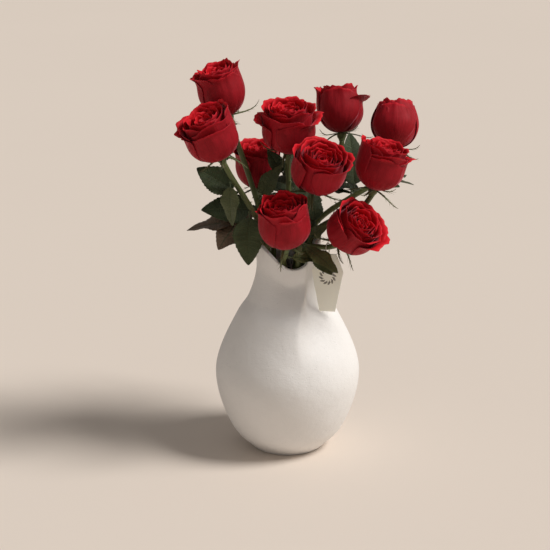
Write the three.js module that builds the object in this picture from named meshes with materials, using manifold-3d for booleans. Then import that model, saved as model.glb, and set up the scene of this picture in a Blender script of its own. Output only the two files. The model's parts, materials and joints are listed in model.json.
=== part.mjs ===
// Ten cut roses standing in a pinched stoneware vase, with a card tag hung from one stem.
// Millimetres. The origin is the centre of the vase's foot, +Z is up, -Y is the front and +X is on the
// right-hand side.
// Bearings are degrees seen from above, counted from +X towards +Y, so 270 is the front.
import * as THREE from "three";
import { mergeVertices } from "three/addons/utils/BufferGeometryUtils.js";
import Module from "manifold-3d";

const wasm = await Module();
wasm.setup();

// ---- Driving dimensions --------------------------------------------------------------------------

const GAP = 0.3; // between two pieces that touch

const vase = {
  footRadius: 39,
  flankRadius: 61, // a quarter of the way up to the belly
  flankHeight: 25,
  bellyRadius: 78,
  bellyHeight: 88,
  shoulderRadius: 55,
  shoulderAboveBelly: 62,
  throatRadius: 42,
  throatAboveShoulder: 21,
  neckRadius: 33.5,
  neckAboveThroat: 31,
  lipRadius: 36,
  lipAboveNeck: 34,
  wall: 5,
  floor: 8,
  notchDepth: 27, // the lip dips to the front
  notchBearing: 280,
  notchSpread: 48,
};

const pinch = {
  depth: 11, // how far the wall is pushed in beside the crest
  depthAtLip: 5,
  ridge: 2.5, // how far the crest stands out
  ridgeSpread: 22,
  lowBearing: 280, // the crest's bearing on the belly and at the lip
  highBearing: 301,
  lowValley: 31, // from the crest to the deepest line, in degrees
  highValley: 15,
  spread: 66, // from the crest to the far side of the dent
  startBelowShoulder: 40,
};

const BLOOM_RADIUS = 27; // of a middling bloom; the bouquet spreads with it
const STEM_DIAMETER = 6;

const hip = { height: 9, waistRadius: 3.4, bulgeRadius: 5.2, topRadius: 4.4 };
const sepal = { length: 30, width: 6, thickness: 1.2 };
const blade = { thickness: 1.4, widthShare: 0.6, fold: 14, arch: 0.16 };
const rachis = { diameter: 1.8, sag: 0.1 };
// Where the cut ends stand on the floor, how far the stems twist on the way up, and how much further out
// than at the neck they may lie at the lip.
const stems = { footRadius: 27, twist: 84, swing: 2 };
const tag = {
  width: 34,
  height: 64,
  topWidth: 18,
  footWidth: 17,
  thickness: 0.8,
  holeRadius: 2.5,
  holeBelowTop: 6,
};
const twine = { diameter: 1.3 };

// ---- The bouquet ---------------------------------------------------------------------------------

// One row for each rose. Its bloom's seat, in bloom radii right of, behind and above the mouth's centre;
// how its axis leans to the right and to the front; its radius against BLOOM_RADIUS; its height against its
// own radius; how far its rim flares; the bearing at which its stem leans on the lip; its room there, in
// stem radii; and the head's twist.
const roses = [
  [-2.33, 0.74, 4.78, -15, 8, 0.9, 2.25, 0.16, 162, 1.3, 0],
  [-2.59, -1.0, 3.52, -22, 16, 1.0, 1.95, 0.18, 208, 1.35, 50],
  [0.0, 0.3, 3.44, 0, 14, 1.0, 2.0, 0.3, 90, 2.0, 100],
  [2.15, 2.04, 3.74, -4, -20, 0.9, 2.1, 0.3, 54, 1.4, 150],
  [4.28, 1.3, 3.28, 0, -22, 0.95, 2.0, 0.06, 22, 1.5, 200],
  [3.33, -0.56, 2.15, 15, 4, 0.96, 1.95, 0.2, 354, 1.6, 250],
  [0.97, -1.05, 2.26, 14, 24, 1.05, 1.75, 0.1, 292, 1.4, 342],
  [-1.15, 2.0, 1.52, 0, 8, 0.93, 2.0, 0.14, 126, 1.4, 350],
  [-0.1, -1.74, 0.2, -4, 16, 0.96, 2.1, 0.1, 260, 1.3, 36],
  [2.0, -1.2, 0.17, 40, 35, 1.0, 1.7, 0.16, 320, 1.7, 130],
].map(([right, back, up, leanRight, leanFront, size, tall, flare, bearing, clear, twist]) => {
  return { seat: [right, back, up], leanRight, leanFront, size, tall, flare, bearing, clear, twist };
});

// One row for each leaf: the rose it grows on, counted from 1; how far under the hip it leaves the stem; its
// bearing and its rise; its length; how many leaflets it has; and its roll about its own line, its right
// edge down.
const leaves = [
  [1, 50, 172, 34, 60, 3, 0],
  [1, 98, 198, 6, 58, 1, -60],
  [1, 112, 180, 0, 78, 3, -4],
  [2, 44, 166, 30, 52, 1, -60],
  [2, 56, 266, -62, 56, 1, 0],
  [3, 40, 316, -34, 44, 1, 0],
  [3, 50, 72, 22, 66, 3, 0],
  [4, 50, 350, 36, 48, 1, 60],
  [4, 62, 75, 0, 78, 3, 0],
  [4, 78, 118, 2, 66, 3, 0],
  [5, 46, 50, 8, 62, 3, 0],
  [5, 66, 94, 20, 45, 1, 60],
  [5, 90, 15, -22, 64, 3, 20],
  [7, 54, 314, -14, 56, 1, 30],
  [8, 36, 278, 60, 44, 1, 0],
  [8, 40, 112, 6, 58, 3, 0],
  [8, 32, 52, 4, 50, 1, 0],
  [9, 14, 346, 4, 38, 1, 30],
  [10, 24, 300, -30, 34, 1, 40],
].map(([rose, under, bearing, rise, length, leaflets, roll]) => {
  return { rose, under, bearing, rise, length, leaflets, roll };
});

// The tag hangs from the last rose's stem: how far under the hip its loop of twine goes round, how far the
// loop drops, the bearing the card faces, and how far its foot leans out over the vase's shoulder.
const hang = { under: 8, drop: 12, bearing: 262, lean: 0.6 };

// ---- Helpers -------------------------------------------------------------------------------------

const radians = THREE.MathUtils.degToRad;
const { lerp, smoothstep } = THREE.MathUtils;
const v3 = (x, y, z) => new THREE.Vector3(x, y, z);

// The direction that points along a bearing and climbs by rise degrees.
function heading(bearing, rise) {
  const flat = Math.cos(radians(rise));
  return v3(flat * Math.cos(radians(bearing)), flat * Math.sin(radians(bearing)), Math.sin(radians(rise)));
}

// A closed skin over a row of rings: quads between neighbours, and a fan to the middle of each end ring.
// Each ring runs counter-clockwise as seen from the last ring.
function loft(rings) {
  const count = rings[0].length;
  const points = rings.flat();
  const middle = (ring) => ring.reduce((sum, p) => sum.add(p), v3(0, 0, 0)).divideScalar(count);
  const first = points.push(middle(rings[0])) - 1;
  const last = points.push(middle(rings.at(-1))) - 1;
  const faces = [];
  for (let i = 0; i < count; i++) {
    const next = (i + 1) % count;
    faces.push(first, next, i);
    for (let k = 0; k < rings.length - 1; k++) {
      const [low, high] = [k * count, (k + 1) * count];
      faces.push(low + i, low + next, high + next, low + i, high + next, high + i);
    }
    const top = (rings.length - 1) * count;
    faces.push(last, top + i, top + next);
  }
  return new THREE.BufferGeometry().setFromPoints(points).setIndex(faces);
}

function toSolid(geometry) {
  const bare = geometry.clone();
  bare.deleteAttribute("normal");
  bare.deleteAttribute("uv");
  const merged = mergeVertices(bare, 1e-4);
  const vertProperties = new Float32Array(merged.attributes.position.array);
  const triVerts = new Uint32Array(merged.index.array);
  return new wasm.Manifold(new wasm.Mesh({ numProp: 3, vertProperties, triVerts }));
}

function fromSolid(solid) {
  const { vertProperties, triVerts } = solid.getMesh();
  return new THREE.BufferGeometry()
    .setAttribute("position", new THREE.BufferAttribute(new Float32Array(vertProperties), 3))
    .setIndex(new THREE.BufferAttribute(new Uint32Array(triVerts), 1));
}

const joined = (geometries) => fromSolid(geometries.map(toSolid).reduce((whole, piece) => whole.add(piece)));

function circle(radius, height, count) {
  const onRim = (turn) => heading(360 * turn, 0).multiplyScalar(radius).setZ(height);
  return Array.from({ length: count }, (_, i) => onRim(i / count));
}

// ---- Vase ----------------------------------------------------------------------------------------

const shoulderHeight = vase.bellyHeight + vase.shoulderAboveBelly;
const throatHeight = shoulderHeight + vase.throatAboveShoulder;
const neckHeight = throatHeight + vase.neckAboveThroat;
const vaseHeight = neckHeight + vase.lipAboveNeck;

// The round profile before it is pinched, from the foot to the lip.
const profile = new THREE.CatmullRomCurve3([
  v3(vase.footRadius, 0, 0),
  v3(vase.flankRadius, 0, vase.flankHeight),
  v3(vase.bellyRadius, 0, vase.bellyHeight),
  v3(vase.shoulderRadius, 0, shoulderHeight),
  v3(vase.throatRadius, 0, throatHeight),
  v3(vase.neckRadius, 0, neckHeight),
  v3(vase.lipRadius, 0, vaseHeight),
]);

// How much of the pinch is felt at a height: nothing on the belly, all of it on the shoulder.
const pinchShare = (z) => smoothstep(z, shoulderHeight - pinch.startBelowShoulder, shoulderHeight);
const climb = (z) => smoothstep(z, shoulderHeight - 5, neckHeight - 7);
const crestBearing = (z) => lerp(pinch.lowBearing, pinch.highBearing, climb(z));

// The radial shift of the wall, at an angle round from the crest: a ridge at the crest that falls steeply
// into a valley, which rises gently back to the round.
function pinchShift(fromCrest, z) {
  const angle = THREE.MathUtils.euclideanModulo(fromCrest + 180, 360) - 180;
  const valley = lerp(pinch.lowValley, pinch.highValley, climb(z));
  const depth = lerp(pinch.depth, pinch.depthAtLip, smoothstep(z, throatHeight, neckHeight));
  let dent = 0;
  if (angle > 0 && angle < valley) dent = Math.sin((Math.PI / 2) * (angle / valley));
  if (angle >= valley && angle < pinch.spread)
    dent = Math.cos((Math.PI / 2) * ((angle - valley) / (pinch.spread - valley))) ** 2;
  const ridge = pinch.ridge * Math.exp(-((angle / pinch.ridgeSpread) ** 2));
  return pinchShare(z) * (ridge - depth * dent);
}

// How far the lip is lowered at a bearing, shared out over the neck below it.
function notchDrop(bearing, z) {
  const angle = THREE.MathUtils.euclideanModulo(bearing - vase.notchBearing + 180, 360) - 180;
  const share = smoothstep(z, throatHeight, vaseHeight);
  return share * vase.notchDepth * Math.exp(-((angle / vase.notchSpread) ** 2));
}

// A point of the wall, inset from the outside.
function wallPoint(fromCrest, radius, z, inset) {
  const bearing = crestBearing(z) + fromCrest;
  return heading(bearing, 0)
    .multiplyScalar(radius + pinchShift(fromCrest, z) - inset)
    .setZ(z - notchDrop(bearing, z));
}

// The columns of the wall, in degrees from the crest: close together across the dent, wide apart elsewhere.
const dentColumns = [0, 5, 10, 16, 23, 31, 40, 50, 60];
const roundColumns = Array.from({ length: 24 }, (_, i) => lerp(72, 348, i / 23));
const columns = [...dentColumns, ...roundColumns];

function vaseGeometry() {
  const outside = profile.getPoints(18);
  const wallRing = (radius, z, inset) => columns.map((angle) => wallPoint(angle, radius, z, inset));
  const rings = outside.map((p) => wallRing(p.x, p.z, 0));
  const lipRound = vase.wall * 0.3;
  rings.push(wallRing(vase.lipRadius, vaseHeight, vase.wall / 2).map((p) => p.setZ(p.z + lipRound)));
  const inside = outside.filter((p) => p.z > vase.floor + vase.wall).reverse();
  for (const p of inside) rings.push(wallRing(p.x, p.z, vase.wall));
  const well = profile.getPoints(60).find((p) => p.z >= vase.floor);
  rings.push(wallRing(well.x - vase.wall, vase.floor, vase.wall));
  return loft(rings);
}

// The wall's inside at a bearing, at the lip or the neck: its distance from the middle, and its height.
function insideAt(bearing, radius, z) {
  const { x, y, z: height } = wallPoint(bearing - crestBearing(z), radius, z, vase.wall);
  return { reach: Math.hypot(x, y), height };
}

// ---- Roses ---------------------------------------------------------------------------------------

const stemRadius = STEM_DIAMETER / 2;

// The seat of a bloom, the way it faces, and the line of its stem: from the cut end on the vase's floor to
// where it leans on the lip, and on in one bend to the hip.
function place(rose) {
  const [right, back, up] = rose.seat.map((radii) => radii * BLOOM_RADIUS);
  const seat = v3(right, back, vaseHeight + up);
  const axis = v3(Math.tan(radians(rose.leanRight)), -Math.tan(radians(rose.leanFront)), 1).normalize();
  const top = seat.clone().addScaledVector(axis, -(hip.height + GAP));
  const lip = insideAt(rose.bearing, vase.lipRadius, vaseHeight);
  const neck = insideAt(rose.bearing, vase.neckRadius, neckHeight);
  const room = Math.min(lip.reach - stemRadius * rose.clear, neck.reach + stems.swing - stemRadius) - GAP;
  const rest = heading(rose.bearing, 0)
    .multiplyScalar(room)
    .setZ(lip.height + stemRadius);
  const end = heading(rose.bearing + stems.twist, 0)
    .multiplyScalar(stems.footRadius)
    .setZ(vase.floor + GAP + stemRadius * 0.15);
  const rising = rest.clone().sub(end).normalize();
  const onward = top.clone().sub(rest);
  const span = onward.length();
  const bend = rising.clone().multiplyScalar(2).add(onward.normalize()).normalize();
  const from = (point, way, distance) => point.clone().addScaledVector(way, distance);
  const inVase = new THREE.CubicBezierCurve3(end, from(end, rising, 60), from(rest, bend, -26), rest);
  const [leaving, arriving] = [from(rest, bend, 0.3 * span), from(top, axis, -0.25 * span)];
  const above = new THREE.CubicBezierCurve3(rest, leaving, arriving, top);
  const line = new THREE.CurvePath();
  line.add(inVase);
  line.add(above);
  return { seat, axis, line };
}

function stemGeometry(line) {
  const section = new THREE.Shape().absarc(0, 0, stemRadius, 0, 2 * Math.PI);
  return new THREE.ExtrudeGeometry(section, { steps: 26, curveSegments: 4, extrudePath: line });
}

// A closed bloom: a round bowl of overlapping outer petals whose tips flare into points, round a domed heart
// whose rim lines wind inwards.
function bloomGeometry(rose) {
  const radius = BLOOM_RADIUS * rose.size;
  const height = radius * rose.tall;
  const columnsRound = 20;
  const petals = 5;
  // Radius against the bloom's, height against the bloom's, and how much of the flare is felt.
  const stations = [
    [0.17, 0.0, 0],
    [0.7, 0.12, 0],
    [0.98, 0.36, 0],
    [0.93, 0.68, 0.1],
    [1.0, 0.93, 1],
    [0.84, 0.97, 0.5],
    [0.66, 0.9, 0],
    [0.42, 0.99, 0],
    [0.18, 0.95, 0],
  ];
  const rings = stations.map(([across, up, flare], k) =>
    circle(1, 0, columnsRound).map((unit, i) => {
      const turn = i / columnsRound;
      const tip = Math.abs(Math.sin(Math.PI * petals * turn)) ** 0.7;
      const winding = k > 4 ? 0.05 * (((turn * 3 + k * 0.4) % 1) - 0.5) : 0;
      const reach = radius * (across + flare * rose.flare * tip - 0.05 * (1 - tip) * (flare > 0 ? 1 : 0));
      return v3(unit.x * reach, unit.y * reach, height * (up + winding - 0.03 * flare * (1 - tip)));
    }),
  );
  return loft(rings);
}

// A thin blade with a raised midrib, from its base along +X: a diamond section that follows a half-width,
// arched down by a share of its length.
function bladeGeometry({ length, halfWidth, thickness, foldAngle, arch, steps }) {
  const rise = Math.tan(radians(foldAngle));
  const rings = [];
  for (let k = 0; k <= steps; k++) {
    const s = k / steps;
    const x = length * s;
    const drop = -arch * length * s * s;
    const half = halfWidth(s);
    const thick = thickness * (1 - 0.5 * s);
    rings.push([
      v3(x, half, drop + half * rise),
      v3(x, 0, drop),
      v3(x, -half, drop + half * rise),
      v3(x, 0, drop - thick),
    ]);
  }
  return loft(rings);
}

function calyxGeometry() {
  const hipRings = [
    circle(hip.waistRadius, -hip.height, 8),
    circle(hip.bulgeRadius, -hip.height * 0.45, 8),
    circle(hip.topRadius, 0, 8),
  ];
  const pieces = [loft(hipRings)];
  for (let i = 0; i < 5; i++) {
    const strap = bladeGeometry({
      length: sepal.length * (1 - 0.08 * ((i * 2) % 5)),
      halfWidth: (s) => (sepal.width / 2) * Math.sin(Math.PI * (0.22 + 0.75 * s)),
      thickness: sepal.thickness,
      foldAngle: 12,
      arch: 0.35 + 0.12 * ((i * 3) % 5),
      steps: 3,
    });
    pieces.push(strap.translate(hip.topRadius - 1.6, 0, -1).rotateZ(radians(72 * i)));
  }
  return joined(pieces);
}

// ---- Leaves --------------------------------------------------------------------------------------

// A leaf along +X with its upper side to +Z: a stalk with an end leaflet and pairs of side leaflets.
function leafGeometry({ length, leaflets }) {
  const pairs = (leaflets - 1) / 2;
  const end = 0.12 + 0.11 * (leaflets - 1);
  const sagAt = (s) => -rachis.sag * length * s * s;
  const swell = (s) => Math.sin(Math.PI * s ** 0.85) ** 0.8;
  const halfWidth = (size) => (s) => size * (blade.widthShare / 2) * swell(s) + 0.4;
  const leaflet = (size) =>
    bladeGeometry({
      length: size,
      halfWidth: halfWidth(size),
      thickness: blade.thickness,
      foldAngle: blade.fold,
      arch: blade.arch,
      steps: 5,
    });
  const stalk = [0, 0.5, 1].map((share) => {
    const s = share * (end + 0.06);
    return circle(rachis.diameter / 2, 0, 5)
      .map((p) => v3(length * s, p.x, p.y + sagAt(s)));
  });
  const slope = Math.atan(2 * rachis.sag * end);
  const tipLeaflet = leaflet(length * (1 - end)).rotateY(slope).translate(length * end, 0, sagAt(end));
  const pieces = [loft(stalk), tipLeaflet];
  for (let pair = 0; pair < pairs; pair++) {
    const s = end - 0.06 - pair * 0.26;
    const size = length * (1 - end) * 0.85;
    for (const side of [-1, 1])
      pieces.push(leaflet(size).rotateZ(radians(side * 62)).translate(length * s, 0, sagAt(s)));
  }
  return joined(pieces);
}

// Turns a leaf from its own frame to where it leaves the stem.
function leafPlacement(leaf, line) {
  const length = line.getLength();
  const share = THREE.MathUtils.clamp(1 - leaf.under / length, 0, 1);
  const root = line.getPointAt(share);
  const along = heading(leaf.bearing, leaf.rise);
  const side = v3(0, 0, 1).cross(along).normalize();
  const face = along.clone().cross(side);
  const turned = new THREE.Matrix4().makeBasis(along, side, face);
  const roll = new THREE.Matrix4().makeRotationX(radians(leaf.roll));
  const stem = line.getTangentAt(share);
  const slant = Math.abs(along.dot(stem));
  const clear = (stemRadius + 1.2 * GAP + (rachis.diameter / 2 + GAP) * slant) / Math.sqrt(1 - slant ** 2);
  root.addScaledVector(along, clear);
  return turned.multiply(roll).setPosition(root);
}

// ---- Tag -----------------------------------------------------------------------------------------

// A card in its own frame: the hole's middle at the origin, the card hanging to -Y and its face to +Z.
function tagGeometry() {
  const [top, half] = [tag.holeBelowTop, tag.width / 2];
  const outline = new THREE.Shape()
    .moveTo(-tag.topWidth / 2, top)
    .lineTo(-half, top - tag.height * 0.3)
    .lineTo(-tag.footWidth / 2, top - tag.height)
    .lineTo(tag.footWidth / 2, top - tag.height)
    .lineTo(half, top - tag.height * 0.3)
    .lineTo(tag.topWidth / 2, top)
    .closePath();
  outline.holes.push(new THREE.Path().absarc(0, 0, tag.holeRadius, 0, 2 * Math.PI, true));
  const settings = { depth: tag.thickness, bevelEnabled: false, curveSegments: 8 };
  return new THREE.ExtrudeGeometry(outline, settings).translate(0, 0, -tag.thickness / 2);
}

// A closed ring of twine in the XY plane: round a stem at the origin, whose slanting section is stretched
// along Y, and down to the tag's hole at -Y.
function twineGeometry(stretch) {
  const reach = (stemRadius + GAP + twine.diameter / 2) * 1.12;
  const over = [-15, 20, 55, 90, 125, 160, 195].map((angle) => {
    return v3(reach * Math.cos(radians(angle)), reach * stretch * Math.sin(radians(angle)), 0);
  });
  const turn = 1.9 * twine.diameter;
  const under = [v3(-turn, turn - hang.drop, 0), v3(0, -hang.drop, 0), v3(turn, turn - hang.drop, 0)];
  const path = new THREE.CatmullRomCurve3([...over, ...under], true);
  return new THREE.TubeGeometry(path, 32, twine.diameter / 2, 6, true);
}

// ---- Assembly ------------------------------------------------------------------------------------

const materials = {
  stoneware: new THREE.MeshStandardMaterial({ color: "#efebe6", roughness: 0.75 }),
  petal: new THREE.MeshStandardMaterial({ color: "#a80d1c", roughness: 0.55 }),
  stem: new THREE.MeshStandardMaterial({ color: "#6f7f45", roughness: 0.5 }),
  sepal: new THREE.MeshStandardMaterial({ color: "#6d8244", roughness: 0.6 }),
  leaf: new THREE.MeshStandardMaterial({ color: "#33502f", roughness: 0.5 }),
  card: new THREE.MeshStandardMaterial({ color: "#e9e5d8", roughness: 0.8 }),
  twine: new THREE.MeshStandardMaterial({ color: "#e6e0d2", roughness: 0.9 }),
};

const bouquet = new THREE.Group();

function addMesh(name, geometry, material, parent = bouquet) {
  const mesh = new THREE.Mesh(geometry, material);
  mesh.name = name;
  parent.add(mesh);
  return mesh;
}

addMesh("vase", vaseGeometry(), materials.stoneware);

const placed = roses.map(place);
const calyx = calyxGeometry();
roses.forEach((rose, index) => {
  const name = "rose_" + String(index + 1).padStart(2, "0");
  const { seat, axis, line } = placed[index];
  addMesh(name + "_stem", stemGeometry(line), materials.stem);
  const head = new THREE.Group();
  head.position.copy(seat);
  head.quaternion.setFromUnitVectors(v3(0, 0, 1), axis);
  head.rotateZ(radians(rose.twist));
  bouquet.add(head);
  addMesh(name + "_calyx", calyx, materials.sepal, head);
  addMesh(name + "_bloom", bloomGeometry(rose), materials.petal, head).position.z = GAP;
});

const leafCount = {};
for (const leaf of leaves) {
  const rose = String(leaf.rose).padStart(2, "0");
  leafCount[rose] = (leafCount[rose] ?? 0) + 1;
  const mesh = addMesh(`rose_${rose}_leaf_${leafCount[rose]}`, leafGeometry(leaf), materials.leaf);
  leafPlacement(leaf, placed[leaf.rose - 1].line).decompose(mesh.position, mesh.quaternion, mesh.scale);
}

const { line: tagStem } = placed.at(-1);
const tagShare = 1 - hang.under / tagStem.getLength();
const ring = new THREE.Group();
ring.position.copy(tagStem.getPointAt(tagShare));
const along = tagStem.getTangentAt(tagShare);
const level = along.clone().setZ(0).normalize();
ring.rotation.set(Math.PI / 2, 0, Math.atan2(level.y, level.x) + Math.PI / 2, "ZYX");
bouquet.add(ring);
addMesh("tag_twine", twineGeometry(1 / along.dot(level)), materials.twine, ring);

const card = addMesh("tag", tagGeometry(), materials.card);
ring.updateMatrixWorld();
card.position.copy(ring.localToWorld(v3(0, -hang.drop, 0)));
card.position.z += twine.diameter / 2 + 2.5 * GAP - tag.holeRadius;
card.rotation.set(radians(90 - hang.lean), 0, radians(hang.bearing + 90), "ZYX");

export default bouquet;
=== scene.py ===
"""Ten cut roses in a pinched stoneware vase, with a plain card tag on a loop of twine.

Metres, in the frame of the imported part: the origin is the centre of the vase's foot, +Z is up, -Y is the front.
Bearings are degrees seen from above, counted from +X towards +Y, so 270 is the front.
"""

import json
import math
from collections import namedtuple

import bpy
import numpy as np
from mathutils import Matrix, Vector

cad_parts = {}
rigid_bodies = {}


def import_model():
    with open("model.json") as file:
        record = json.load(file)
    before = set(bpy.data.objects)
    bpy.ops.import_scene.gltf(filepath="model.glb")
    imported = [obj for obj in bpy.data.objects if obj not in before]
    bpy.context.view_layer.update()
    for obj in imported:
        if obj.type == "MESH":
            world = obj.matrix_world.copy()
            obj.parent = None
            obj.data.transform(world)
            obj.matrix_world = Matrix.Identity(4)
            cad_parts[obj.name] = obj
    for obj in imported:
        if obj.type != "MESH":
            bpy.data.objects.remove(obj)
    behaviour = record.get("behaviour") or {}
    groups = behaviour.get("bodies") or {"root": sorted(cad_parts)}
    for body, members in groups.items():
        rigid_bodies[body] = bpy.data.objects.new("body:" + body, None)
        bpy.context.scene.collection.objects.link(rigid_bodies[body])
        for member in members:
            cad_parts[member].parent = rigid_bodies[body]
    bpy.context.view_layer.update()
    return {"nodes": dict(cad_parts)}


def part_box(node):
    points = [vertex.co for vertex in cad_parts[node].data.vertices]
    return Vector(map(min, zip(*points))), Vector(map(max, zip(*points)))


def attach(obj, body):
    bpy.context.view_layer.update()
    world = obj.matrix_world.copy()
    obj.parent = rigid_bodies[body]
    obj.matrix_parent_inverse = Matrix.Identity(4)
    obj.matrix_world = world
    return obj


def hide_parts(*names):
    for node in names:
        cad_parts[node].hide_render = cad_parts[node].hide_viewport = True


bl_info = {
    "name": "Roses in a Vase",
    "version": (1, 0, 0),
    "blender": (4, 5, 0),
    "location": "View3D > Sidebar > Roses",
    "description": "Builds ten cut roses in a pinched stoneware vase round the packed part",
    "category": "Add Mesh",
}

for startup in list(bpy.data.objects):
    bpy.data.objects.remove(startup)
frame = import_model()
MM = 0.001
# The gap between pieces that grow on each other, and a hip's height.
GAP = 0.3 * MM
HIP_HEIGHT = 9 * MM
# The golden section as a turn in degrees and as a share: steps of it never fall on each other.
GOLDEN_ANGLE, GOLDEN_SHARE = 137.5, 0.618
ROSES = [f"rose_{number:02d}" for number in range(1, 11)]

# ---- Looks of the single roses and leaves --------------------

# One row for each rose: the bearing of its first petal; how far its rims curl out and from which share of a
# petal's length; how many petals are wound round its heart; how far the heart sits below the rim, in head
# heights; how far the petals lean in above the belly; and the petals that hang loose, each with its bearing, half
# its width in degrees, its curl, the share at which that starts, and its height against the head's.
HEADS = [
    (200, 62, 0.74, 18, 0.03, 13, [(172, 54, 78, 0.74, 0.95), (8, 48, 60, 0.80, 1.03), (285, 60, 50, 0.80, 0.95)]),
    (165, 46, 0.76, 18, 0.06, 4, [(186, 52, 70, 0.76, 0.90), (20, 50, 14, 0.84, 1.04), (285, 66, 30, 0.84, 0.84)]),
    (240, 52, 0.76, 20, 0.03, 3, [(184, 50, 98, 0.70, 0.84), (352, 54, 100, 0.70, 0.86), (300, 58, 40, 0.80, 0.84)]),
    (100, 46, 0.78, 16, 0.02, 8, [(155, 54, 56, 0.78, 1.08), (350, 58, 104, 0.64, 0.86), (262, 64, 20, 0.86, 0.90)]),
    (40, 14, 0.86, 18, 0.00, 24, [(120, 56, 6, 0.90, 1.00), (255, 66, 4, 0.92, 0.90)]),
    (290, 50, 0.76, 18, 0.03, 5, [(352, 48, 84, 0.76, 0.92), (185, 52, 20, 0.82, 1.04), (262, 62, 34, 0.84, 0.86)]),
    (320, 48, 0.80, 20, 0.08, 2, [(5, 52, 50, 0.80, 0.94), (180, 56, 34, 0.82, 0.98)]),
    (80, 60, 0.74, 16, 0.04, 6, [(200, 52, 60, 0.76, 0.95)]),
    (230, 38, 0.82, 20, 0.12, 8, [(352, 60, 16, 0.88, 1.03), (196, 58, 44, 0.84, 0.92), (290, 62, 36, 0.86, 0.84)]),
    (150, 54, 0.76, 20, 0.07, 6, [(330, 58, 70, 0.62, 0.95), (10, 54, 60, 0.66, 0.95), (200, 44, 60, 0.78, 0.88)]),
]

# One row for each leaf, in the order of the part's nodes: its rose; how far under the hip it leaves the stem, in
# millimetres; its bearing and its rise; its length in millimetres; how many leaflets it has; its roll about its
# own line; how far it has turned, above TURNED to brown; and half its width against its length.
Leaf = namedtuple("Leaf", "rose under bearing rise length leaflets roll turn width")
TURNED = 0.8
LEAVES = [
    Leaf(1, 50, 172, 34, 60, 3, 0, 0.0, 0.36),
    Leaf(1, 98, 198, 6, 58, 1, -60, 0.1, 0.36),
    Leaf(1, 112, 180, 0, 78, 3, -22, 0.9, 0.36),
    Leaf(2, 44, 166, 30, 52, 1, -60, 0.1, 0.36),
    Leaf(2, 56, 266, -62, 56, 1, 0, 0.2, 0.36),
    Leaf(3, 40, 316, -34, 44, 1, 0, 0.1, 0.36),
    Leaf(3, 50, 72, 22, 66, 3, 0, 0.0, 0.36),
    Leaf(4, 50, 350, 36, 48, 1, 60, 0.0, 0.36),
    Leaf(4, 62, 75, 0, 78, 3, 0, 0.1, 0.36),
    Leaf(4, 78, 118, 2, 66, 3, 0, 0.1, 0.36),
    Leaf(5, 46, 50, 8, 62, 3, 0, 0.0, 0.36),
    Leaf(5, 66, 94, 20, 45, 1, 60, 0.0, 0.36),
    Leaf(5, 90, 15, -22, 64, 3, 20, 0.2, 0.36),
    Leaf(7, 54, 314, -12, 54, 1, 8, 0.75, 0.20),
    Leaf(8, 36, 278, 60, 44, 1, 0, 0.1, 0.36),
    Leaf(8, 40, 112, 6, 58, 3, 0, 0.0, 0.36),
    Leaf(8, 32, 52, 4, 50, 1, 0, 0.1, 0.36),
    Leaf(9, 14, 346, 4, 38, 1, 30, 0.7, 0.28),
    Leaf(10, 24, 300, -30, 34, 1, 40, 0.4, 0.36),
]

# The small leaves between those, which the part leaves out.
SMALL_LEAVES = [
    Leaf(1, 91, 335, 60, 44, 1, 79, 0.30, 0.32),
    Leaf(2, 16, 262, -72, 46, 1, 25, 0.40, 0.34),
    Leaf(3, 29, 192, 60, 32, 1, -78, 0.05, 0.32),
    Leaf(3, 40, 63, 63, 44, 1, 9, 0.10, 0.32),
    Leaf(5, 63, 111, 84, 62, 1, -4, 0.0, 0.32),
    Leaf(6, 73, 111, 77, 46, 1, 7, 0.10, 0.32),
    Leaf(6, 84, 292, 36, 32, 1, 82, 0.60, 0.24),
]

# ---- Shapes as arrays --------------------


def unit(vectors):
    """Each vector divided by its length."""
    return vectors / np.linalg.norm(vectors, axis=-1, keepdims=True)


def ease(x, low, high):
    """Zero below low, one above high, and a smooth step between: 3t^2 - 2t^3 of the share t."""
    t = np.clip((x - low) / (high - low), 0, 1)
    return t * t * (3 - 2 * t)


def heading(bearing, rise=0.0):
    """The direction along a bearing that climbs by rise degrees."""
    bearing, rise = np.broadcast_arrays(np.radians(bearing), np.radians(rise))
    flat = np.cos(rise)
    return np.stack([flat * np.cos(bearing), flat * np.sin(bearing), np.sin(rise)], -1)


def spline(points, count, closed=False):
    """Count points on a Catmull-Rom curve through the given ones, evenly spread in its own parameter.

    Each stretch is the cubic with its two ends' slopes, and a slope weighs the neighbouring stretches by the
    square roots of their lengths. An open curve's ends are continued straight on.
    """
    points = np.asarray(points, float)
    stretches = len(points) if closed else len(points) - 1
    if closed:
        row = np.concatenate([points[-1:], points, points[:2]])
    else:
        row = np.concatenate([2 * points[:1] - points[1:2], points, 2 * points[-1:] - points[-2:-1]])
    where = np.linspace(0, stretches, count, endpoint=not closed)
    k = np.minimum(where.astype(int), stretches - 1)
    t = (where - k)[:, None]
    a, b, c, d = row[k], row[k + 1], row[k + 2], row[k + 3]
    ab, bc, cd = (np.sqrt(np.linalg.norm(q - p, axis=1, keepdims=True)) for p, q in ((a, b), (b, c), (c, d)))
    leaving = ((b - a) / ab - (c - a) / (ab + bc) + (c - b) / bc) * bc
    arriving = ((c - b) / bc - (d - b) / (bc + cd) + (d - c) / cd) * bc
    bend = 3 * (c - b) - 2 * leaving - arriving
    return b + leaving * t + bend * t**2 + (2 * (b - c) + leaving + arriving) * t**3


def lengths(path):
    """How far each point of a path is along it."""
    steps = np.linalg.norm(np.diff(path, axis=0), axis=1)
    return np.concatenate([[0.0], np.cumsum(steps)])


def point_at(path, distance):
    """The point of a path at a distance along it, and its direction there."""
    along = lengths(path)
    ahead = unit(np.gradient(path, axis=0))
    point = np.array([np.interp(distance, along, path[:, k]) for k in range(3)])
    return point, unit(np.array([np.interp(distance, along, ahead[:, k]) for k in range(3)]))


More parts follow.
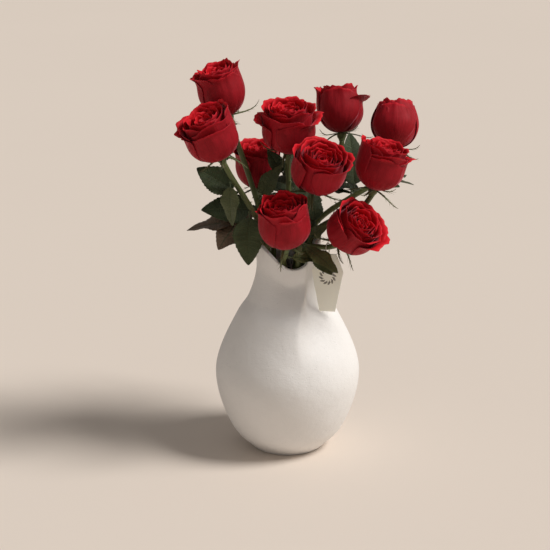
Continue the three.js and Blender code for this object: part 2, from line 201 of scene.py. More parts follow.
def tube(path, radii, sides, across=(0.3, 1.0, 0.1), closed=False):
    """Rings round a path: the path's point plus the radius along spokes that stand square to it.

    The first spoke is square to the path and to `across`, so that the rings don't twist.
    """
    before, after = np.roll(path, 1, 0), np.roll(path, -1, 0)
    ahead = unit(after - before) if closed else unit(np.gradient(path, axis=0))
    first = unit(np.cross(np.asarray(across, float), ahead))
    second = np.cross(ahead, first)
    turn = 2 * np.pi * np.arange(sides) / sides
    spokes = np.cos(turn)[None, :, None] * first[:, None] + np.sin(turn)[None, :, None] * second[:, None]
    return path[:, None] + np.broadcast_to(radii, len(path))[:, None, None] * spokes


def quads(rows, columns, wrap):
    """The four corners of each cell of a grid, whose last column is joined to its first if it wraps."""
    index = np.arange(rows * columns).reshape(rows, columns)
    left, right = (index, np.roll(index, -1, 1)) if wrap else (index[:, :-1], index[:, 1:])
    return np.stack([left[:-1], right[:-1], right[1:], left[1:]], -1).reshape(-1, 4)


class Skin:
    """Points and faces gathered from many grids into one mesh.

    Each point also carries three painted numbers, the attribute "lay": across and along its own part, and a
    number for the part. A sheet's back has one added to that number.
    """

    def __init__(self):
        self.points, self.lay, self.faces, self.count = [], [], [], 0

    def add(self, points, faces, lay):
        """Adds points with their painted numbers, and groups of faces that count from the first of them."""
        self.points.append(points.reshape(-1, 3))
        self.lay.append(lay.reshape(-1, 3))
        self.faces += [group + self.count for group in faces]
        self.count += len(self.points[-1])

    def add_tube(self, rings, number=0.0, looped=False):
        """A row of rings as a closed skin, with a point in the middle of each end unless the row is a loop."""
        rows, columns = rings.shape[:2]
        along, round_it = np.meshgrid(np.linspace(0, 1, rows), np.linspace(0, 1, columns), indexing="ij")
        lay = np.stack([round_it, along, np.full_like(along, number)], -1).reshape(-1, 3)
        if looped:
            rings, lay = np.concatenate([rings, rings[:1]]), np.concatenate([lay, lay[:columns]])
            faces = quads(rows + 1, columns, True) % (rows * columns)
            self.add(rings[:-1], [faces], lay[: rows * columns])
            return
        ends = np.stack([rings[0].mean(0), rings[-1].mean(0)])
        here = np.arange(columns)
        there = np.roll(here, -1)
        first, last, top = rows * columns, rows * columns + 1, (rows - 1) * columns
        start = np.stack([np.full(columns, first), there, here], -1)
        end = np.stack([np.full(columns, last), top + here, top + there], -1)
        points = np.concatenate([rings.reshape(-1, 3), ends])
        lay = np.concatenate([lay, lay[:1], lay[-1:]])
        self.add(points, [quads(rows, columns, True), start, end], lay)

    def add_sheet(self, grid, thickness, number):
        """A grid as a closed sheet: half the thickness out to each side of it, thinned at its edges.

        The grid comes with its two painted numbers. The sides are the grid plus and minus half the thickness
        along its normal, which is the cross product of its slopes, and a strip round the four edges joins them.
        """
        middle, across, along = grid
        rows, columns = middle.shape[:2]
        normal = unit(np.cross(np.gradient(middle, axis=1), np.gradient(middle, axis=0)) + 1e-15)
        edge = np.minimum(np.arange(columns), np.arange(columns)[::-1])[None, :]
        tip = (rows - 1 - np.arange(rows))[:, None]
        half = thickness / 2 * (0.35 + 0.65 * np.clip(np.minimum(edge, tip) / 2, 0, 1))[..., None]
        lay = np.stack(np.broadcast_arrays(across, along, float(number)), -1)
        front, back = middle + normal * half, middle - normal * half
        index = np.arange(rows * columns).reshape(rows, columns)
        rim = np.concatenate([index[0], index[1:, -1], index[-1, -2::-1], index[-2:0:-1, 0]])
        onward, size = np.roll(rim, -1), rows * columns
        strip = np.stack([rim, rim + size, onward + size, onward], -1)
        cells = quads(rows, columns, False)
        points = np.concatenate([front.reshape(-1, 3), back.reshape(-1, 3)])
        lay = np.concatenate([lay.reshape(-1, 3), lay.reshape(-1, 3) + (0, 0, 1)])
        self.add(points, [cells, cells[:, ::-1] + size, strip], lay)

    def placed(self, origin, axes):
        """Turns everything gathered so far from its own frame to one with this origin and these axes."""
        self.points = [np.asarray(origin) + points @ np.asarray(axes) for points in self.points]

    def made(self, name, finish, slot, *nodes):
        """The finished piece, in place of the part's nodes."""
        mesh = bpy.data.meshes.new(name)
        faces = [corners for group in self.faces for corners in group.tolist()]
        mesh.from_pydata(np.concatenate(self.points).tolist(), [], faces)
        mesh.shade_smooth()
        lay = mesh.attributes.new("lay", "FLOAT_VECTOR", "POINT")
        lay.data.foreach_set("vector", np.concatenate(self.lay).astype(np.float32).ravel())
        mesh.materials.append(finish)
        piece = bpy.data.objects.new(name, mesh)
        bpy.context.scene.collection.objects.link(piece)
        if nodes:
            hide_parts(*nodes)
        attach(piece, "root")
        return piece


# ---- What the part says --------------------


def corners_of(node):
    """The separate corners of one of the part's nodes."""
    mesh = frame["nodes"][node].data
    flat = np.empty(len(mesh.vertices) * 3)
    mesh.vertices.foreach_get("co", flat)
    return np.unique(np.round(flat.reshape(-1, 3), 6), axis=0)


def stem_line(rose):
    """The middles of a stem's rings, from its cut end up, and the stem's radius.

    A ring is the eight corners nearest to a point a little ahead of the last ring's middle.
    """
    corners = corners_of(rose + "_stem")
    ring = corners[np.argsort(corners[:, 2])[:8]]
    probe, middles, radii = ring.mean(0), [], []
    while len(corners) >= 8:
        nearest = np.argsort(np.linalg.norm(corners - probe, axis=1))[:8]
        ring = corners[nearest]
        corners = np.delete(corners, nearest, 0)
        middles.append(ring.mean(0))
        radii.append(np.linalg.norm(ring - middles[-1], axis=1).mean())
        ahead = middles[-1] - middles[-2] if len(middles) > 1 else np.array([0.0, 0.0, 12 * MM])
        probe = middles[-1] + 0.45 * ahead
    return spline(middles, 260), float(np.median(radii)), ring


STEMS = {rose: stem_line(rose) for rose in ROSES}


def head_of(rose):
    """Where a bloom sits, its own axes, and its radius and height.

    The stem's last ring is square to the head's axis. The first of the axes lies over +X.
    """
    path, _, ring = STEMS[rose]
    spread = ring - ring.mean(0)
    axis = np.linalg.svd(spread)[2][2]
    axis = axis * np.sign(axis @ (path[-1] - path[-8]))
    first = unit(np.array([1.0, 0.0, 0.0]) - axis * axis[0])
    axes = np.stack([first, np.cross(axis, first), axis])
    seat = path[-1] + axis * (HIP_HEIGHT + GAP)
    local = (corners_of(rose + "_bloom") - seat) @ axes.T
    height = np.ptp(local[:, 2])
    level = np.abs(local[:, 2] - 0.36 * height) < 0.08 * height
    return seat, axes, float(np.hypot(*local[level][:, :2].T).max() / 0.98), float(height)


# ---- Finishes --------------------


def shade(colour, strength):
    """The colour times a strength."""
    return tuple(strength * c for c in colour)


class Wire:
    """An output socket of a finish's node. Sums, products and powers of it add Math nodes."""

    def __init__(self, finish, socket):
        self.finish, self.socket = finish, socket

    def _math(self, operation, *terms):
        return self.finish.node("ShaderNodeMath", {"operation": operation}, dict(enumerate(terms)))

    def __add__(self, other):
        return self._math("ADD", self, other)

    def __sub__(self, other):
        return self._math("SUBTRACT", self, other)

    def __rsub__(self, other):
        return self._math("SUBTRACT", other, self)

    def __mul__(self, other):
        return self._math("MULTIPLY", self, other)

    def __truediv__(self, other):
        return self._math("DIVIDE", self, other)

    def __pow__(self, other):
        return self._math("POWER", self, other)

    def __mod__(self, other):
        return self._math("FLOORED_MODULO", self, other)

    __radd__, __rmul__ = __add__, __mul__

    def size(self):
        """Its value without its sign."""
        return self._math("ABSOLUTE", self)

    def under(self, edge, blur):
        """One below the edge and zero above it, with a smooth step over the blur to each side of it."""
        return self.finish.node(
            "ShaderNodeMapRange",
            {"interpolation_type": "SMOOTHSTEP"},
            {"Value": self, "From Min": edge - blur, "From Max": edge + blur, "To Min": 1.0, "To Max": 0.0},
        )


class Finish:
    """A material made of nodes, with a Principled shader at its end."""

    def __init__(self, name, **sockets):
        self.material = bpy.data.materials.new(name)
        self.material.use_nodes = True
        self.tree = self.material.node_tree
        self.shader = self.tree.nodes["Principled BSDF"]
        self.set(**sockets)

    def node(self, kind, settings=None, sockets=None, output=0):
        """A new node: its settings first, then its sockets' values and links."""
        node = self.tree.nodes.new(kind)
        for key, value in (settings or {}).items():
            setattr(node, key, value)
        for key, value in (sockets or {}).items():
            self._give(node.inputs[key], value)
        return Wire(self, node.outputs[output])

    def _give(self, socket, value):
        """Links a wire to the socket, or sets its value."""
        if isinstance(value, Wire):
            self.tree.links.new(value.socket, socket)
        elif socket.type == "RGBA" and len(value) == 3:
            socket.default_value = (*value, 1.0)
        else:
            socket.default_value = value

    def set(self, **sockets):
        """Gives the shader's sockets their values or links; Base_Color is the socket Base Color."""
        for key, value in sockets.items():
            self._give(self.shader.inputs[key.replace("_", " ")], value)

    def place(self):
        """The point shaded, in metres, in the object's own frame."""
        return self.node("ShaderNodeTexCoord", output="Object")

    def painted(self):
        """Across, along and number, as three wires."""
        lay = self.node("ShaderNodeAttribute", {"attribute_name": "lay"}, output="Vector")
        return [self.node("ShaderNodeSeparateXYZ", None, {0: lay}, k) for k in range(3)]

    def stretched(self, vector, scale):
        """The vector times a scale of its own on each axis."""
        return self.node("ShaderNodeVectorMath", {"operation": "MULTIPLY"}, {0: vector, 1: scale})

    def joined(self, x, y, z):
        """Three wires or numbers as one vector."""
        return self.node("ShaderNodeCombineXYZ", None, {0: x, 1: y, 2: z})

    def noise(self, vector, scale, detail=3.0, roughness=0.55):
        """Soft noise from 0 to 1, with the number of octaves that the detail says."""
        sockets = {"Vector": vector, "Scale": scale, "Detail": detail, "Roughness": roughness}
        return self.node("ShaderNodeTexNoise", None, sockets)

    def mix(self, factor, low, high):
        """The colour low where the factor is zero, and high where it is one."""
        settings = {"data_type": "RGBA", "clamp_factor": True}
        return self.node("ShaderNodeMix", settings, {0: factor, 6: low, 7: high}, 2)

    def bump(self, height, distance):
        """Raises the surface by the height times the distance, in metres."""
        sockets = {"Height": height, "Distance": distance, "Strength": 1.0}
        self.set(Normal=self.node("ShaderNodeBump", None, sockets))


def stoneware(colour):
    """Matt unglazed clay: a mottled off-white, darker in its pits as painted shade, a little lumpy, with a fine
    brushed grain.
    """
    finish = Finish("matt_stoneware", Roughness=0.82, Specular_IOR_Level=0.3)
    place = finish.place()
    cloud = finish.noise(place, 22.0, 4.0)
    grain = finish.noise(place, 900.0, 3.0, 0.65)
    brushed = finish.noise(finish.stretched(place, (240.0, 240.0, 560.0)), 1.0, 4.0, 0.6)
    pits = finish.node("ShaderNodeTexVoronoi", {"feature": "F1"}, {"Vector": place, "Scale": 330.0})
    pit = pits.under(0.18, 0.10) * finish.noise(place, 90.0, 2.0).under(0.42, 0.05)
    pale, dull = shade(colour, 1.03), shade(colour, 0.94)
    body = finish.mix(cloud * 0.8 + grain * 0.3 - 0.1, dull, pale)
    # Painted shade: the colour falls towards two thirds of itself in the pits, which the bump below also presses in.
    finish.set(Base_Color=finish.mix(pit * 0.22, body, shade(colour, 0.66)))
    finish.set(Roughness=0.78 + 0.14 * grain)
    lumps = finish.noise(place, 55.0, 2.0)
    finish.bump(lumps * 3.0 + grain * 0.6 + brushed * 0.8 - pit * 0.5, 0.3 * MM)
    return finish.material


def petal_finish(inside, outside, rim):
    """Velvet petals: pure red within, duller outside, lighter along the rim, with soft folds and fine veins.

    A petal's own number shifts its depth. The folds and the veins are noise drawn out along the petal. The front
    of a petal's sheet is its outer face.
    """
    finish = Finish("rose_petal", Sheen_Weight=0.40, Sheen_Roughness=0.30, Sheen_Tint=(1.0, 0.30, 0.38))
    finish.set(Specular_IOR_Level=0.18, Subsurface_Weight=0.05, Subsurface_Radius=(1.0, 0.12, 0.1))
    finish.set(Subsurface_Scale=1.5 * MM)
    across, along, number = finish.painted()
    back = 1 - number.under(1.0, 0.01)
    shift = number % 1.0
    veins = finish.noise(finish.joined(across * 26.0, along * 2.2, number * 40.0), 1.0, 4.0, 0.6)
    cloud = finish.noise(finish.place(), 120.0, 3.0)
    body = finish.mix(back, outside, inside)
    depth = cloud * 0.8 + shift * 0.4 + veins.under(0.42, 0.16) * 0.35 - 0.30
    body = finish.mix(depth * 0.75, body, shade(inside, 0.18))
    edge = 1 - along.under(0.955, 0.045)
    finish.set(Base_Color=finish.mix(edge * 0.45, body, rim))
    finish.set(Roughness=0.55 + 0.2 * cloud)
    folds = finish.noise(finish.joined(across * 2.6, along * 1.3, number * 40.0), 1.0, 2.0)
    velvet = finish.noise(finish.place(), 2600.0, 2.0)
    finish.bump(folds * 9.0 + veins * 0.9 + velvet * 0.25, 0.2 * MM)
    return finish.material


def stem_finish(colour, blush):
    """A smooth green stem with a red-brown blush in long streaks and faint ribs along it."""
    finish = Finish("rose_stem", Roughness=0.42, Specular_IOR_Level=0.4)
    place = finish.place()
    streaks = finish.noise(finish.stretched(place, (420.0, 420.0, 26.0)), 1.0, 4.0)
    cloud = finish.noise(place, 22.0, 3.0)
    body = finish.mix(streaks, shade(colour, 0.7), shade(colour, 1.35))
    finish.set(Base_Color=finish.mix((cloud - 0.52) * 3.0 * streaks, body, blush))
    finish.set(Roughness=0.38 + 0.2 * streaks)
    finish.bump(streaks, 0.3 * MM)
    return finish.material


# Pairs of side veins on a leaflet, and how many of their spacings a vein runs forward on its way to the margin.
SIDE_VEINS, VEIN_SLANT = 9, 1.3


def leaf_finish(name, colour, vein, under_side, turned_colour):
    """A satin leaf: pairs of pale veins run forward from a midrib, and the blade between them is mottled.

    A side vein is where the rank comes near a half. The sheet's front is the leaf's paler underside, and the
    fraction of the painted number says how far the leaf has turned.
    """
    finish = Finish(name, Specular_IOR_Level=0.3, Sheen_Weight=0.03)
    across, along, number = finish.painted()
    off = across.size()
    rank = (along * float(SIDE_VEINS) - off * VEIN_SLANT) % 1.0
    side_vein = (rank - 0.5).size().under(0.05, 0.045) * (1 - off)
    midrib = off.under(0.05, 0.035)
    place = finish.place()
    cloud = finish.noise(place, 70.0, 4.0)
    net = finish.node("ShaderNodeTexVoronoi", {"feature": "DISTANCE_TO_EDGE"}, {"Vector": place, "Scale": 620.0})
    body = finish.mix(cloud * 1.2 - 0.1, shade(colour, 0.6), shade(colour, 1.5))
    body = finish.mix(number % 1.0 * (0.6 + cloud), body, turned_colour)
    body = finish.mix(net.under(0.06, 0.05) * 0.2, body, vein)
    body = finish.mix(number.under(1.0, 0.01) * 0.75, body, under_side)
    finish.set(Base_Color=finish.mix(side_vein * 0.35 + midrib * 0.6, body, vein))
    finish.set(Roughness=0.42 + 0.25 * cloud)
    finish.bump(side_vein * -0.8 + midrib * -0.6 + net * 1.2, 0.5 * MM)
    return finish.material


def sepal_finish(colour, tip):
    """A soft sepal that goes from green to a red-brown tip, with fine lines along it."""
    finish = Finish("rose_sepal", Sheen_Weight=0.15, Specular_IOR_Level=0.3)
    across, along, number = finish.painted()
    lines = finish.noise(finish.joined(across * 9.0, along * 3.0, number * 17.0), 1.0, 3.0)
    cloud = finish.noise(finish.place(), 140.0, 3.0)
    body = finish.mix(lines, shade(colour, 0.6), shade(colour, 1.4))
    finish.set(Base_Color=finish.mix(along**2.0 * cloud * 1.1, body, tip))
    finish.set(Roughness=0.5 + 0.2 * cloud)
    finish.bump(lines, 0.3 * MM)
    return finish.material


def card_finish(colour, ink):
    """Laid card with a printed wreath: a thin ring with slanting oval leaves on it.

    The painted numbers are millimetres right of, above and in front of the hole.
    """
    finish = Finish("plain_card", Roughness=0.8, Specular_IOR_Level=0.25, Subsurface_Weight=0.7)
    finish.set(Subsurface_Radius=(1.0, 0.95, 0.85), Subsurface_Scale=1.5 * MM)
    right, up, _ = finish.painted()
    laid = finish.noise(finish.joined(right * 0.5, up * 6.0, 0.0), 1.0, 3.0)
    fibre = finish.noise(finish.place(), 1500.0, 4.0, 0.7)
    body = finish.mix(laid * 0.5 + fibre * 0.5, shade(colour, 0.92), shade(colour, 1.03))
    below_hole, radius, count = 19.0, 7.0, 12
    level = up + below_hole
    away = (right**2.0 + level**2.0) ** 0.5 - radius
    turn = finish.node("ShaderNodeMath", {"operation": "ARCTAN2"}, {0: level, 1: right}) * (count / math.tau)
    beat = (turn + away * 0.16) % 1.0 - 0.5
    leaves = ((beat / 0.30) ** 2.0 + (away / 2.3) ** 2.0).under(1.0, 0.25)
    ring = away.size().under(0.22, 0.12)
    finish.set(Base_Color=finish.mix(leaves * 0.75 + ring * 0.8, body, ink))
    finish.set(Roughness=0.74 + 0.14 * fibre)
    finish.bump(laid * 0.6 + fibre * 0.4, 0.12 * MM)
    return finish.material


def twine_finish(colour):
    """Two soft spun strands, with fibres that wind round each."""
    finish = Finish("spun_twine", Sheen_Weight=0.3, Specular_IOR_Level=0.2)
    across, along, number = finish.painted()
    spun = finish.noise(finish.joined(across * 5.0 + along * 60.0, along * 12.0, number * 9.0), 1.0, 3.0)
    finish.set(Base_Color=finish.mix(spun, shade(colour, 0.62), shade(colour, 1.1)))
    finish.set(Roughness=0.8 + 0.15 * spun)
    finish.bump(spun, 0.2 * MM)
    return finish.material


def floor_finish(colour):
    """A smooth pale floor with a very faint cloud in it."""
    finish = Finish("pale_floor", Roughness=0.7, Specular_IOR_Level=0.2)
    cloud = finish.noise(finish.place(), 1.5, 3.0)
    finish.set(Base_Color=finish.mix(cloud, shade(colour, 0.97), colour))
    return finish.material


# ---- Settings --------------------


def length(description, millimetres):
    return bpy.props.FloatProperty(description=description, default=millimetres * MM, unit="LENGTH", precision=5)


def angle(description, degrees):
    return bpy.props.FloatProperty(description=description, default=math.radians(degrees), subtype="ANGLE")


def share(description, default):
    return bpy.props.FloatProperty(description=description, default=default, subtype="FACTOR")


def number(description, default):
    return bpy.props.FloatProperty(description=description, default=default)


def colour(description, default):
    return bpy.props.FloatVectorProperty(
        description=description, default=default, subtype="COLOR", size=3, min=0.0, max=1.0
    )


class RosesVaseSettings(bpy.types.PropertyGroup):
    """The vase's profile, its pinch and its clay."""

    foot: length("Radius of the flat foot", 39)
    flank: length("Radius a quarter of the way up to the belly", 61)
    flank_height: length("Where the flank's radius is measured", 25)
    belly: length("Radius at the widest", 78)
    belly_height: length("Height of the widest", 88)
    shoulder: length("Radius where the pinch is full", 55)
    shoulder_height: length("Height of the shoulder", 150)
    throat: length("Radius between shoulder and neck", 42)
    throat_height: length("Height of the throat", 171)
    neck: length("Radius at the narrowest", 33.5)
    neck_height: length("Height of the neck", 202)
    lip: length("Radius at the lip", 36)
    lip_height: length("Height of the lip, before it dips", 236)
    wall: length("Thickness of the wall", 5)
    floor: length("Thickness of the floor", 8)
    notch: length("How far the lip dips to the front", 27)
    pinch: length("How far the wall is pushed in beside the crest", 11)
    pinch_at_lip: length("How far the wall is pushed in at the lip", 5)
    ridge: length("How far the crest stands out", 2.5)
    clay: colour("Colour of the stoneware", (0.86, 0.84, 0.815))


class RosesBloomSettings(bpy.types.PropertyGroup):
    """The petals' thickness and colours."""

    thickness: length("Thickness in the middle of a petal", 0.5)
    open: share("How far the rims curl, against each rose's own curl", 1.0)
    inside: colour("Pure colour of a petal's inner face", (0.70, 0.005, 0.012))
    outside: colour("Duller colour of a petal's outer face", (0.38, 0.007, 0.016))
    rim: colour("Colour of the thin rim", (0.74, 0.012, 0.028))


class RosesGreenSettings(bpy.types.PropertyGroup):
    """Stems, hips, sepals and leaves."""

    prickle: length("Length of a prickle", 3.2)
    sepal: length("Length of the longest sepal", 35)
    sepal_width: length("Width of a sepal at its widest", 4.4)
    leaf_thickness: length("Thickness of a leaf", 0.45)
    teeth: share("Depth of the leaf's teeth against its half width", 0.085)
    stem_green: colour("Colour of the stems", (0.100, 0.120, 0.038))
    blush: colour("Red-brown blush on the stems", (0.15, 0.070, 0.040))
    sepal_green: colour("Colour of the sepals", (0.110, 0.145, 0.050))
    leaf_green: colour("Colour of the leaves", (0.024, 0.042, 0.016))
    under_green: colour("Colour of the leaves' undersides", (0.075, 0.098, 0.050))
    vein: colour("Colour of the leaves' veins", (0.070, 0.090, 0.038))
    olive: colour("Colour that leaves take as they turn", (0.150, 0.155, 0.052))
    brown: colour("Colour of the leaf that has turned", (0.170, 0.108, 0.066))


class RosesTagSettings(bpy.types.PropertyGroup):
    """The card and its twine."""

    width: length("Width of the card at its widest", 34)
    height: length("Height of the card", 64)
    top: length("Width of the card's top edge", 18)
    foot: length("Width of the card's foot", 17)
    thickness: length("Thickness of the card", 0.7)
    hole: length("Radius of the hole", 2.5)
    below_top: length("From the top edge to the hole's middle", 6)
    bow: length("How far the card's middle bows out", 0.6)
    twine: length("Diameter of the twine", 1.3)
    drop: length("From the middle of the stem to the bottom of the loop", 12)
    under: length("How far under the hip the loop goes round the stem", 8)
    card: colour("Colour of the card", (0.92, 0.89, 0.79))
    ink: colour("Colour of the printed wreath", (0.085, 0.075, 0.060))
    cord: colour("Colour of the twine", (0.72, 0.66, 0.55))


class RosesStageSettings(bpy.types.PropertyGroup):
    """Camera, floor and light."""

    lens: number("Focal length in millimetres", 117.8)
    pitch: angle("How far the camera looks down", 17.85)
    floor: colour("Colour of the floor", (0.76, 0.67, 0.59))
    sky: colour("Colour of the light from all round", (1.0, 0.965, 0.93))
    fill: number("Strength of the light from all round", 0.25)
    key: number("Strength of the light from the right", 2.9)
    key_bearing: angle("Where the key light comes from", -10)
    key_rise: angle("How high the key light stands", 50)
    key_spread: angle("How wide the key light looks", 22)


GROUPS = {
    "vase": RosesVaseSettings,
    "bloom": RosesBloomSettings,
    "green": RosesGreenSettings,
    "tag": RosesTagSettings,
    "stage": RosesStageSettings,
}


class RosesSettings(bpy.types.PropertyGroup):
    """All the settings, group by group."""

    __annotations__ = {name: bpy.props.PointerProperty(type=group) for name, group in GROUPS.items()}


# ---- Vase --------------------

# The settings of the profile above the foot; the bearings of the dip and of the pinch's crest, low and high on the
# wall; and the pinch's angles round from the crest.
LEVELS = ("flank", "belly", "shoulder", "throat", "neck", "lip")
DIP_BEARING, DIP_SPREAD = 280, 48
CREST_LOW, CREST_HIGH, RIDGE_SPREAD = 280, 301, 22
VALLEY_LOW, VALLEY_HIGH, PINCH_SPREAD = 27, 15, 66


def wrapped(angle):
    """The angle, in degrees, as one from -180 up to 180."""
    return (angle + 180) % 360 - 180


def dent(angle, valley):
    """A quarter sine down from the crest to the valley, and a squared quarter cosine back to the round."""
    falling = np.sin(np.pi / 2 * np.clip(angle / valley, 0, 1))
    rising = np.cos(np.pi / 2 * np.clip((angle - valley) / (PINCH_SPREAD - valley), 0, 1)) ** 2
    return np.where(angle < valley, falling, rising)


def clay_wall(s, from_crest, radius, z, inset):
    """Points of the wall: the profile's radius, plus the ridge and less the dent, at each angle from the crest.

    The ridge is a bell curve round the crest, and the dent is averaged over four degrees, as a thumb leaves it.
    The wall sinks towards the dip by another bell curve, felt more and more from the throat up.
    """
    climb = ease(z, s.shoulder_height - 5 * MM, s.neck_height - 7 * MM)
    bearing = CREST_LOW + (CREST_HIGH - CREST_LOW) * climb + from_crest
    angle = wrapped(from_crest)
    valley = VALLEY_LOW + (VALLEY_HIGH - VALLEY_LOW) * climb
    depth = s.pinch + (s.pinch_at_lip - s.pinch) * ease(z, s.throat_height, s.neck_height)
    pressed = sum(dent(angle + turn, valley) for turn in (-2, -1, 0, 1, 2)) / 5
    shift = s.ridge * np.exp(-((angle / RIDGE_SPREAD) ** 2)) - depth * pressed
    reach = radius + ease(z, s.shoulder_height - 40 * MM, s.shoulder_height) * shift - inset
    sunk = s.notch * np.exp(-((wrapped(bearing - DIP_BEARING) / DIP_SPREAD) ** 2))
    drop = ease(z, s.throat_height, s.lip_height) * sunk
    flat = heading(bearing)
    return np.stack([reach * flat[..., 0], reach * flat[..., 1], z - drop], -1)


class RosesBuildVase(bpy.types.Operator):
    """Builds the pinched vase, outside, lip and inside"""

    bl_idname = "roses.build_vase"
    bl_label = "Vase"

    def execute(self, context):
        s = context.scene.roses.vase
        knots = [(s.foot, 0.0, 0.0)]
        knots += [(getattr(s, level), 0.0, getattr(s, level + "_height")) for level in LEVELS]
        radius, _, height = spline(knots, 132).T
        bend = np.linspace(0, np.pi, 11)[1:-1]
        rounding = 2 * MM
        inner = height[::-1] > s.floor + rounding
        well = np.interp(s.floor + rounding, height, radius)
        corner = np.array([0.6, 1.6, 3.2]) * MM
        # Radius, height, inset and lift: under the foot, its edge, the outside, the lip, the inside and the floor.
        rows = [
            (np.linspace(0.15, 0.97, 8) * s.foot, 0.0, 0.0, 0.0),
            (s.foot - np.array([0.6, 0.15]) * MM, np.array([0.0, 0.3]) * MM, 0.0, 0.0),
            (radius[2:], height[2:], 0.0, 0.0),
            (s.lip, s.lip_height, s.wall / 2 * (1 - np.cos(bend)), 0.3 * s.wall * np.sin(bend)),
            (radius[::-1][inner], height[::-1][inner], s.wall, 0.0),
            (well - corner, s.floor + rounding * (1 - corner / corner[-1]) ** 2, s.wall, 0.0),
            (np.linspace(0.88, 0.08, 9) * (well - s.wall), s.floor, 0.0, 0.0),
        ]
        profile = np.concatenate([np.stack(np.broadcast_arrays(*row), -1) for row in rows])
        r, z, inset, lift = (profile[:, k, None] for k in range(4))
        rings = clay_wall(s, np.arange(0, 360, 1.5)[None, :], r, z, inset)
        rings[..., 2] += lift
        skin = Skin()
        skin.add_tube(rings)
        skin.made("vase_body", stoneware(s.clay), "stoneware", "vase")
        return {"FINISHED"}


# ---- Stems, hips and sepals --------------------


def leaf_root(leaf):
    """Where a leaf leaves its stem: the distance along the stem, the point, and the stem's direction."""
    path = STEMS[ROSES[leaf.rose - 1]][0]
    distance = lengths(path)[-1] - leaf.under * MM
    return distance, *point_at(path, distance)


class RosesBuildStems(bpy.types.Operator):
    """Builds the ten stems, swollen where leaves leave them, with a few prickles"""

    bl_idname = "roses.build_stems"
    bl_label = "Stems"

    def execute(self, context):
        s = context.scene.roses.green
        finish = stem_finish(s.stem_green, s.blush)
        for number, rose in enumerate(ROSES, 1):
            path, radius, _ = STEMS[rose]
            along = lengths(path)
            radii = radius * (0.95 + 0.015 * np.sin(along / (9 * MM) + number))
            for leaf in LEAVES:
                if leaf.rose == number:
                    radii += 0.06 * radius * np.exp(-(((along - leaf_root(leaf)[0]) / (2.4 * MM)) ** 2))
            skin = Skin()
            skin.add_tube(tube(path, radii, 18))
            for k in range(5):
                distance = along[-1] - (27 + 19 * k + 7 * ((number * 3 + k) % 3)) * MM
                self.add_prickle(skin, path, distance, radius, number * 77 + k * GOLDEN_ANGLE, s.prickle)
            skin.made(rose + "_stalk", finish, "stem", rose + "_stem")
        return {"FINISHED"}

    @staticmethod
    def add_prickle(skin, path, distance, radius, bearing, size):
        """A thorn whose middle line bends down, and whose rings shrink by a power of what is left of it."""
        point, ahead = point_at(path, distance)
        out = unit(np.cross(ahead, heading(bearing)))
        t = np.linspace(0, 1, 7)[:, None]
        line = point + out * (radius * 0.7 + size * t) - ahead * size * 0.45 * t**2
        skin.add_tube(tube(line, 0.34 * size * (1 - t[:, 0]) ** 1.3 + 0.05 * MM, 8, across=ahead), 0.5)


# Radius and height of the hip's outline under the bloom's seat, in millimetres.
HIP_OUTLINE = [(3.1, -9.2), (3.6, -7.2), (5.0, -4.2), (4.9, -1.6), (3.9, 0.2)]
# The spikes on each side of a sepal: the row of its strap that one grows from, of SEPAL_ROWS, and its millimetres.
SEPAL_ROWS, SPIKES = 26, ((7, 3.2), (11, 5.0), (15, 5.6), (19, 4.0))


